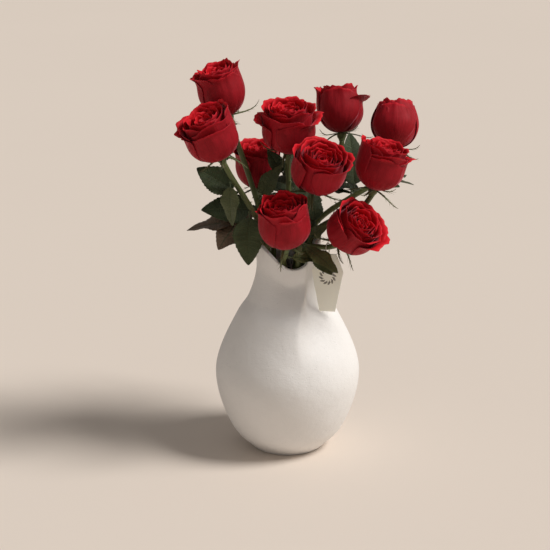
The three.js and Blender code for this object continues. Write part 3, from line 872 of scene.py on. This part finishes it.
class RosesBuildCalyces(bpy.types.Operator):
    """Builds each rose's hip and its five feathered sepals"""

    bl_idname = "roses.build_calyces"
    bl_label = "Hips and sepals"

    def execute(self, context):
        s = context.scene.roses.green
        finish = sepal_finish(s.sepal_green, s.blush)
        for number, rose in enumerate(ROSES, 1):
            seat, axes, _, _ = head_of(rose)
            knots = np.array([(r, 0.0, z) for r, z in HIP_OUTLINE]) * MM
            radius, _, rise = (column[:, None] for column in spline(knots, 24).T)
            turn = np.linspace(0, 2 * np.pi, 20, endpoint=False)
            skin = Skin()
            skin.add_tube(np.stack([radius * np.cos(turn), radius * np.sin(turn), rise + 0 * turn], -1), 0.2)
            first = self.first_sepal(rose, seat, axes)
            for k in range(5):
                self.add_sepal(skin, s, first + 72 * k, k, number)
            skin.placed(seat, axes)
            skin.made(rose + "_hip", finish, "sepal", rose + "_calyx")
        return {"FINISHED"}

    @staticmethod
    def first_sepal(rose, seat, axes):
        """The angle round the head's axis of the part's longest sepal: that of its farthest corner."""
        local = (corners_of(rose + "_calyx") - seat) @ axes.T
        far = local[np.argmax(np.hypot(local[:, 0], local[:, 1]))]
        return math.degrees(math.atan2(far[1], far[0]))

    @staticmethod
    def add_sepal(skin, s, bearing, k, number):
        """A narrow strap that leaves the hip's top and bends down along a parabola, its tip curling up and aside.

        Its half width is a lance: a root of the share along it, times what is left of it. The spikes on its sides
        leave it forwards.
        """
        size = s.sepal * (1 - 0.07 * ((2 * k) % 5))
        arch = 0.02 + 0.17 * ((3 * k + number) % 5)
        sway = math.radians(24 * math.sin(2.1 * k + number))
        t = np.linspace(0, 1, SEPAL_ROWS)[:, None]
        out = 3.4 * MM + size * (t - 0.10 * t**3)
        aside = size * np.tan(sway) * t**2 * (1 - 0.3 * t)
        down = -1.0 * MM - arch * size * t**2 + (0.20 + 0.14 * ((k + number) % 3)) * size * t**4
        turn = math.radians(bearing)
        ahead, side = np.array([math.cos(turn), math.sin(turn), 0.0]), np.array([-math.sin(turn), math.cos(turn), 0.0])
        line = out * ahead + aside * side + down * np.array([0.0, 0.0, 1.0])
        u = np.linspace(-1, 1, 7)[None, :]
        half = s.sepal_width / 2 * (0.50 + 0.8 * np.sqrt(t)) * (1 - t) ** 1.3 + 0.24 * MM
        up = unit(np.cross(np.gradient(line, axis=0), side))
        cup = (u**2 * half * 0.45)[..., None] * -up[:, None]
        sheet = line[:, None] + (u * half)[..., None] * side + cup
        skin.add_sheet((sheet, u, t), 0.6 * MM, 0.1 + 0.15 * k)
        for place, reach in SPIKES:
            for way in (-1, 1):
                start = sheet[place, 3 + 2 * way]
                forward = unit(line[place + 2] - line[place])
                w = np.linspace(0, 1, 6)[:, None]
                spike = start + reach * MM * (w * (way * side * 0.75 + forward) + 0.18 * w**2 * -up[place])
                radii = 0.26 * MM * (1 - 0.85 * w[:, 0])
                skin.add_tube(tube(spike, radii, 5, across=(0.1, 0.2, 1.0)), 0.9)


# ---- Blooms --------------------

# The grid of a petal, along and across it.
PETAL_ROWS, PETAL_COLUMNS = 26, 27


def petal(radius, height, bearing, half, curl, curl_from, lean, foot, thumb):
    """One petal's sheet in its head's frame, whose +Z is the axis.

    Along it, it starts nearly flat and stands up to the belly, leans in by `lean` above that, and curls out by
    `curl` from the share `curl_from` on, most at its sides. The line is that slope added up, scaled so that the
    belly and the rim come to the radius and height. Across it, it turns through `half` degrees to each side of
    its bearing, less near its foot and where it hangs out beyond the belly. Its length falls off to the sides as
    a cube, with a small point in the middle, its rim waves, and one side is tucked under. `thumb` sets the waves.
    """
    v, u = np.linspace(0, 1, PETAL_ROWS)[:, None], np.linspace(-1, 1, PETAL_COLUMNS)[None, :]
    reach = 1 - 0.15 * np.abs(u) ** 3 + 0.014 * np.exp(-((u / 0.16) ** 2)) + 0.014 * np.sin(7 * u + thumb)
    reach = reach + 0.009 * np.sin(19 * u + 2.3 * thumb)
    s = v * reach
    plain = np.radians(84) * np.clip(1 - s / 0.66, 0, 1) ** 1.25 - math.radians(lean) * ease(s, 0.5, 0.88)
    roll = np.radians(curl) * (0.75 + 0.5 * u**2) * ease(s, curl_from, 1.04) ** 1.2
    roll = roll + np.radians(26) * ease(s, 0.93, 1.0)
    centre = PETAL_COLUMNS // 2

    def added_up(values):
        """The sum of the values along the petal, row by row."""
        steps = (values[1:] + values[:-1]) / 2 * reach / (PETAL_ROWS - 1)
        return np.concatenate([np.zeros((1, PETAL_COLUMNS)), np.cumsum(steps, 0)])

    middle = plain[:, centre, None] + 0 * u
    belly = added_up(np.sin(middle))[:, centre].max()
    upright = added_up(np.cos(middle))[:, centre].max()
    out = foot + added_up(np.sin(plain + roll)) * (radius - foot) / belly
    up = added_up(np.cos(plain + roll)) * height / upright
    out = out * (1 + 0.035 * u * ease(s, 0.1, 0.5))
    wave = 0.018 * height * ease(s, 0.6, 1.0)
    out = out + wave * (np.sin(5.2 * u + 2.3 * thumb) + 0.5 * np.sin(11.0 * u + 1.3 * thumb))
    up = up + 1.3 * wave * np.sin(5.1 * u + 3.1 * thumb + 1.0)
    width = (0.52 + 0.48 * ease(s, 0, 0.7)) * np.minimum(1, radius / np.maximum(out, 1e-6))
    angle = np.radians(bearing + half * u * width)
    return np.stack([out * np.cos(angle), out * np.sin(angle), up], -1), u, s


def heart(radius, height, bearing, turns):
    """The innermost petals as one wound sheet: its radius shrinks evenly with each turn, and leans in at its top."""
    v, u = np.linspace(0, 1, 18)[:, None], np.linspace(0, 1, 90)[None, :]
    swell = np.sin(np.pi * (0.12 + 0.62 * v)) * (1 - 0.22 * v**3)
    out = radius * (1 - 0.80 * u) * swell * (1 + 0.05 * np.sin(13 * u))
    out = out + 0.10 * radius * ease(v, 0.86, 1.0)
    up = height * v * (1 - 0.05 * np.abs(np.sin(7.5 * u + 0.4)) - 0.05 * u)
    angle = math.radians(bearing) - 2 * np.pi * turns * u
    return np.stack([out * np.cos(angle), out * np.sin(angle), up], -1), np.sin(9 * u), v + 0 * u


class RosesBuildBlooms(bpy.types.Operator):
    """Builds the ten blooms, petal by petal, wound inwards by the golden angle"""

    bl_idname = "roses.build_blooms"
    bl_label = "Blooms"

    def execute(self, context):
        s = context.scene.roses.bloom
        finish = petal_finish(s.inside, s.outside, s.rim)
        for rose, (first, curl, curl_from, count, sunk, lean, loose) in zip(ROSES, HEADS):
            seat, axes, radius, height = head_of(rose)
            skin = Skin()
            curl *= s.open
            for k in range(count):
                inward = k / (count - 1)
                girth = radius * (0.985 - 0.70 * inward**0.92)
                tall = height * (0.93 + 0.06 * math.sin(math.pi * min(1.0, 1.5 * inward)) - sunk * inward)
                half, bend, start = 70 + 14 * inward, curl * (1 - inward) ** 1.5, curl_from + 0.10 * inward
                slope, foot = lean + (16 - 0.5 * lean) * inward, (0.16 - 0.08 * inward) * radius
                grid = petal(girth, tall, first + GOLDEN_ANGLE * k, half, bend, start, slope, foot, 1.7 * k + first)
                skin.add_sheet(grid, s.thickness, (k * GOLDEN_SHARE) % 1.0)
            for k, (bearing, half, bend, start, tall) in enumerate(loose):
                girth, tall, foot = radius * (1.01 + 0.015 * k), height * tall * 0.95, 0.17 * radius
                grid = petal(girth, tall, bearing, half, bend * s.open, start, lean, foot, 2.9 * k + first)
                skin.add_sheet(grid, s.thickness, 0.25 + 0.2 * k)
            skin.add_sheet(heart(radius * 0.30, height * (0.95 - sunk), first, 2.3), s.thickness, 0.4)
            skin.placed(seat + axes[2] * GAP, axes)
            skin.made(rose + "_petals", finish, "petal", rose + "_bloom")
        return {"FINISHED"}


# ---- Leaves --------------------

# The longest leaf of three leaflets that has no second pair; the teeth on each side of a leaflet; and how far a
# piece may lie off its node's box.
LONG_LEAF, LEAF_TEETH, LEAF_TOLERANCE = 60 * MM, 13, 14 * MM


def leaf_blade(size, width, teeth, number):
    """One leaflet along +X with its face to +Z.

    Its half width is a sine of the share along it to the power 0.85, cut into teeth that rise slowly and fall
    at once; its halves fold up from the midrib, swell between the side veins and wave at the margin, and the
    whole is bent down by the square of the share along it and twisted in step with it.
    """
    t, u = np.linspace(0, 1, 64)[:, None], np.linspace(-1, 1, 15)[None, :]
    off, swell = np.abs(u), np.sin(np.pi * t)
    half = size * width * np.sin(np.pi * t**0.85) ** 0.8 * (1 - 0.12 * t) + 0.35 * MM
    saw = (t * LEAF_TEETH + 0.05 * number) % 1.0
    half = half * (1 - teeth * (1 - saw) * off**5 * swell**0.3)
    fold = math.tan(math.radians(15 + 7 * math.sin(2.3 * number)))
    lift = half * off * fold * (1 - 0.3 * off) + half * u * 0.5 * math.sin(1.3 * number) * t
    quilt = 0.022 * size * np.sin(2 * np.pi * (t * SIDE_VEINS - off * VEIN_SLANT)) * off * (1 - off) * swell
    wave = 0.034 * size * np.sin(2 * np.pi * 2.2 * t + 1.7 * number + np.pi * (u > 0)) * off**2 * swell
    groove = -0.35 * MM * np.exp(-((u / 0.07) ** 2)) * (1 - 0.6 * t)
    x = size * t - 0.06 * size * off * swell
    return np.stack([x, half * u, lift + quilt + wave + groove - 0.16 * size * t**2], -1), u, t + 0 * u


def turned(points, degrees, axis):
    """Points turned about the second or third axis."""
    c, s = math.cos(math.radians(degrees)), math.sin(math.radians(degrees))
    if axis == 1:
        matrix = np.array([[c, 0, -s], [0, 1, 0], [s, 0, c]])
    else:
        matrix = np.array([[c, s, 0], [-s, c, 0], [0, 0, 1]])
    return points @ matrix


def leaf_skin(leaf, s):
    """A stalk with an end leaflet and, on a leaf of three, side leaflets too, in the leaf's frame.

    The stalk sags by a tenth of the square of the share along it. A leaf of three that is long has a second,
    smaller pair nearer the stem.
    """
    size = leaf.length * MM
    end = 0.12 + 0.11 * (leaf.leaflets - 1)
    skin = Skin()
    share = np.linspace(0, 1, 20) * (end + 0.05)
    line = np.stack([size * share, 0 * share, -0.1 * size * share**2], -1)
    radii = (0.85 - 0.25 * share / share[-1]) * MM + 0.9 * MM * np.exp(-((share * size / (1.6 * MM)) ** 2))
    skin.add_tube(tube(line, radii, 9, across=(0.0, 0.0, 1.0)), 0.5)
    rows = [(end, 0, 1.0)]
    if leaf.leaflets > 1:
        rows += [(end - 0.06, side * 62, 0.85) for side in (-1, 1)]
        if size > LONG_LEAF:
            rows += [(end - 0.20, side * 68, 0.62) for side in (-1, 1)]
    for k, (place, bearing, part) in enumerate(rows):
        blade, u, along = leaf_blade(size * (1 - end) * part, leaf.width, s.teeth, leaf.under + k)
        blade = turned(blade, math.degrees(math.atan(0.2 * end)), 1) if k == 0 else turned(blade, bearing, 2)
        blade = blade + (size * place, 0, -0.1 * size * place**2)
        skin.add_sheet((blade, u, along), s.leaf_thickness, min(leaf.turn + 0.04 * k, 0.99))
    return skin


class RosesBuildLeaves(bpy.types.Operator):
    """Builds the leaves where the part has them, and a few small ones between"""

    bl_idname = "roses.build_leaves"
    bl_label = "Leaves"

    def execute(self, context):
        s = context.scene.roses.green
        fresh = leaf_finish("rose_leaf", s.leaf_green, s.vein, s.under_green, s.olive)
        brown = leaf_finish("turned_leaf", s.brown, s.vein, shade(s.brown, 1.5), s.brown)
        counts = {}
        for kind, leaf in [("leaf", leaf) for leaf in LEAVES] + [("small_leaf", leaf) for leaf in SMALL_LEAVES]:
            rose = ROSES[leaf.rose - 1]
            counts[rose, kind] = counts.get((rose, kind), 0) + 1
            name = f"{rose}_{kind}_{counts[rose, kind]}"
            _, root, ahead = leaf_root(leaf)
            along = heading(leaf.bearing, leaf.rise)
            side = unit(np.cross((0, 0, 1), along))
            face = np.cross(along, side)
            roll = math.radians(leaf.roll)
            level = math.cos(roll) * side + math.sin(roll) * face
            upward = math.cos(roll) * face - math.sin(roll) * side
            slant = abs(float(along @ ahead))
            clear = (STEMS[rose][1] + 0.36 * MM + 1.2 * MM * slant) / math.sqrt(1 - slant**2)
            skin = leaf_skin(leaf, s)
            skin.placed(root + along * clear, np.stack([along, level, upward]))
            nodes = [name] if kind == "leaf" else []
            piece = skin.made(name + "_blade", brown if leaf.turn > TURNED else fresh, "leaf", *nodes)
            for node in nodes:
                self.compare(piece, node)
        return {"FINISHED"}

    @staticmethod
    def compare(piece, node):
        """Stops if the piece's box lies too far off that of the node that it stands for."""
        low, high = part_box(node)
        points = np.array(piece.bound_box)
        off = max(np.abs(points.min(0) - low).max(), np.abs(points.max(0) - high).max())
        if off > LEAF_TOLERANCE:
            raise RuntimeError(f"{piece.name} lies {off / MM:.1f} mm off {node}")


# ---- Tag and twine --------------------


class RosesBuildTag(bpy.types.Operator):
    """Builds the card with its hole and a printed wreath"""

    bl_idname = "roses.build_tag"
    bl_label = "Tag"

    def execute(self, context):
        s = context.scene.roses.tag
        corners = corners_of("tag")
        middle = corners.mean(0)
        normal = np.linalg.svd(corners - middle)[2][2]
        normal = normal * -np.sign(normal[1])
        up = unit(np.array([0.0, 0.0, 1.0]) - normal * normal[2])
        right = np.cross(up, normal)
        axes = np.stack([right, up, normal])
        local = (corners - middle) @ axes.T
        centre = (local.max(0) + local.min(0)) / 2
        origin = middle + (centre[0], local[:, 1].max() - s.below_top, centre[2]) @ axes
        skin = Skin()
        sheet = self.card(s)
        skin.add_tube(self.slab(sheet, s), looped=True)
        skin.lay = [np.concatenate([sheet, sheet[::-1]]).reshape(-1, 3) / MM]
        skin.placed(origin, axes)
        skin.made("tag_card", card_finish(s.card, s.ink), "card", "tag")
        return {"FINISHED"}

    @staticmethod
    def card(s):
        """Rows from the hole's edge to the outline, each point a share of the way along its own spoke.

        The outline is where a spoke meets the nearest of the card's six edges.
        """
        top, foot, widest = s.below_top, s.below_top - s.height, s.below_top - 0.3 * s.height
        ring = [(s.top / 2, top), (-s.top / 2, top), (-s.width / 2, widest), (-s.foot / 2, foot)]
        ring += [(s.foot / 2, foot), (s.width / 2, widest)]
        a = np.array(ring)
        b = np.roll(a, -1, 0)
        out = unit(np.stack([b[:, 1] - a[:, 1], a[:, 0] - b[:, 0]], -1))
        reach = (out * a).sum(-1)
        even = np.linspace(-np.pi, np.pi, 180, endpoint=False)
        angle = np.unique(np.concatenate([even, np.arctan2(a[:, 1], a[:, 0])]).round(6))
        spoke = np.stack([np.cos(angle), np.sin(angle)], -1)
        towards = spoke @ out.T
        far = np.where(towards > 1e-6, reach / np.maximum(towards, 1e-6), 1.0).min(1)
        outward = np.concatenate([[0.0, 0.04], np.linspace(0.1, 0.975, 20), [1.0]])[:, None]
        distance = s.hole + (far[None, :] - s.hole) * outward
        bow = s.bow * np.sin(distance / s.height * np.pi)
        return np.stack([distance * spoke[:, 0], distance * spoke[:, 1], bow], -1)

    @staticmethod
    def slab(sheet, s):
        """The front rows from the hole out, then the back rows from the edge in: a ring-shaped closed skin."""
        rounding = np.ones(len(sheet))
        rounding[[0, -1]] = 0.6
        lift = (s.thickness / 2 * rounding)[:, None, None] * np.array([0.0, 0.0, 1.0])
        return np.concatenate([(sheet - lift), (sheet + lift)[::-1]])


# Points round the twine's loop, and twists of its plies on the way; each ply's distance from the middle and its
# radius, against the twine's diameter.
LOOP_POINTS, TWISTS, PLY_OFFSET, PLY_RADIUS = 240, 17, 0.23, 0.27


class RosesBuildTwine(bpy.types.Operator):
    """Builds the loop of two-ply twine from the stem down to the tag"""

    bl_idname = "roses.build_twine"
    bl_label = "Twine"

    def execute(self, context):
        s = context.scene.roses.tag
        path, radius, _ = STEMS[ROSES[-1]]
        centre, ahead = point_at(path, lengths(path)[-1] - s.under)
        level = unit(ahead * (1, 1, 0))
        sideways = np.array([-level[1], level[0], 0.0])
        reach = (radius + GAP + s.twine / 2) * 1.12
        turn = np.radians([-15, 20, 55, 90, 125, 160, 195])
        over = np.stack([reach * np.cos(turn), reach * np.sin(turn) / (ahead @ level)], -1)
        pull = 1.9 * s.twine
        knots = np.concatenate([over, [(-pull, pull - s.drop), (0, -s.drop), (pull, pull - s.drop)]])
        loop = spline(knots @ np.stack([sideways, (0, 0, 1)]), LOOP_POINTS, closed=True)
        spin = 2 * np.pi * TWISTS * np.arange(LOOP_POINTS) / LOOP_POINTS
        after = unit(np.roll(loop, -1, 0) - np.roll(loop, 1, 0))
        inward = np.cross(after, level)
        skin = Skin()
        for ply in (0, np.pi):
            offset = np.cos(spin + ply)[:, None] * inward + np.sin(spin + ply)[:, None] * level
            strand = centre + loop + offset * s.twine * PLY_OFFSET
            skin.add_tube(tube(strand, s.twine * PLY_RADIUS, 8, across=level, closed=True), ply, looped=True)
        skin.made("tag_loop", twine_finish(s.cord), "twine", "tag_twine")
        return {"FINISHED"}


# ---- Stage --------------------


CAMERA_PLACE, SENSOR_WIDTH, KEY_PLACE = (-0.0136, -1.8393, 0.7855), 36.0, (1.9, -0.35, 1.55)
KEY_COLOUR = (1.0, 0.98, 0.955)


class RosesBuildStage(bpy.types.Operator):
    """Builds the camera, the pale floor and the studio light"""

    bl_idname = "roses.build_stage"
    bl_label = "Stage"

    def execute(self, context):
        s = context.scene.roses.stage
        self.aim_camera(context.scene, s)
        self.lay_floor(s)
        world = bpy.data.worlds.new("soft_fill")
        world.use_nodes = True
        backing = world.node_tree.nodes["Background"]
        backing.inputs["Color"].default_value = (*s.sky, 1.0)
        backing.inputs["Strength"].default_value = s.fill
        context.scene.world = world
        context.scene.view_settings.view_transform = "Standard"
        self.hang_key(context.scene, s)
        return {"FINISHED"}

    @staticmethod
    def aim_camera(scene, s):
        """A long lens, two metres off, that looks down at the vase from the front."""
        camera = bpy.data.objects.new("camera", bpy.data.cameras.new("camera"))
        camera.data.lens, camera.data.sensor_width = s.lens, SENSOR_WIDTH
        camera.location = CAMERA_PLACE
        camera.rotation_euler = (math.pi / 2 - s.pitch, 0.0, 0.0)
        scene.collection.objects.link(camera)
        scene.camera = camera

    @staticmethod
    def lay_floor(s):
        """A square of ten metres."""
        mesh = bpy.data.meshes.new("floor")
        mesh.from_pydata([(-5, -5, 0), (5, -5, 0), (5, 5, 0), (-5, 5, 0)], [], [(0, 1, 2, 3)])
        mesh.materials.append(floor_finish(s.floor))
        floor = bpy.data.objects.new("floor", mesh)
        bpy.context.scene.collection.objects.link(floor)

    @staticmethod
    def hang_key(scene, s):
        """A broad, far-off light, whose rays come down from its bearing and height."""
        lamp = bpy.data.lights.new("key", "SUN")
        lamp.energy, lamp.angle, lamp.color = s.key, s.key_spread, KEY_COLOUR
        light = bpy.data.objects.new("key", lamp)
        light.location = KEY_PLACE
        light.rotation_euler = (math.pi / 2 - s.key_rise, 0.0, math.pi / 2 + s.key_bearing)
        scene.collection.objects.link(light)


# ---- Panel and start --------------------

STEPS = (
    RosesBuildStage,
    RosesBuildVase,
    RosesBuildStems,
    RosesBuildCalyces,
    RosesBuildBlooms,
    RosesBuildLeaves,
    RosesBuildTag,
    RosesBuildTwine,
)


class RosesPanel(bpy.types.Panel):
    """Lists the pieces and their settings"""

    bl_idname = "VIEW3D_PT_roses"
    bl_label = "Roses in a Vase"
    bl_space_type = "VIEW_3D"
    bl_region_type = "UI"
    bl_category = "Roses"

    def draw(self, context):
        for step in STEPS:
            self.layout.operator(step.bl_idname)
        for name, group in GROUPS.items():
            box = self.layout.box()
            box.label(text=name.capitalize())
            for key in group.__annotations__:
                box.prop(getattr(context.scene.roses, name), key, text=key.replace("_", " ").capitalize())


CLASSES = (*GROUPS.values(), RosesSettings, *STEPS, RosesPanel)


def register():
    for kind in CLASSES:
        bpy.utils.register_class(kind)
    bpy.types.Scene.roses = bpy.props.PointerProperty(type=RosesSettings)


def unregister():
    del bpy.types.Scene.roses
    for kind in reversed(CLASSES):
        bpy.utils.unregister_class(kind)


def main():
    """Builds everything in order."""
    register()
    for step in STEPS:
        family, name = step.bl_idname.split(".")
        getattr(getattr(bpy.ops, family), name)()


if __name__ == "__main__":
    main()
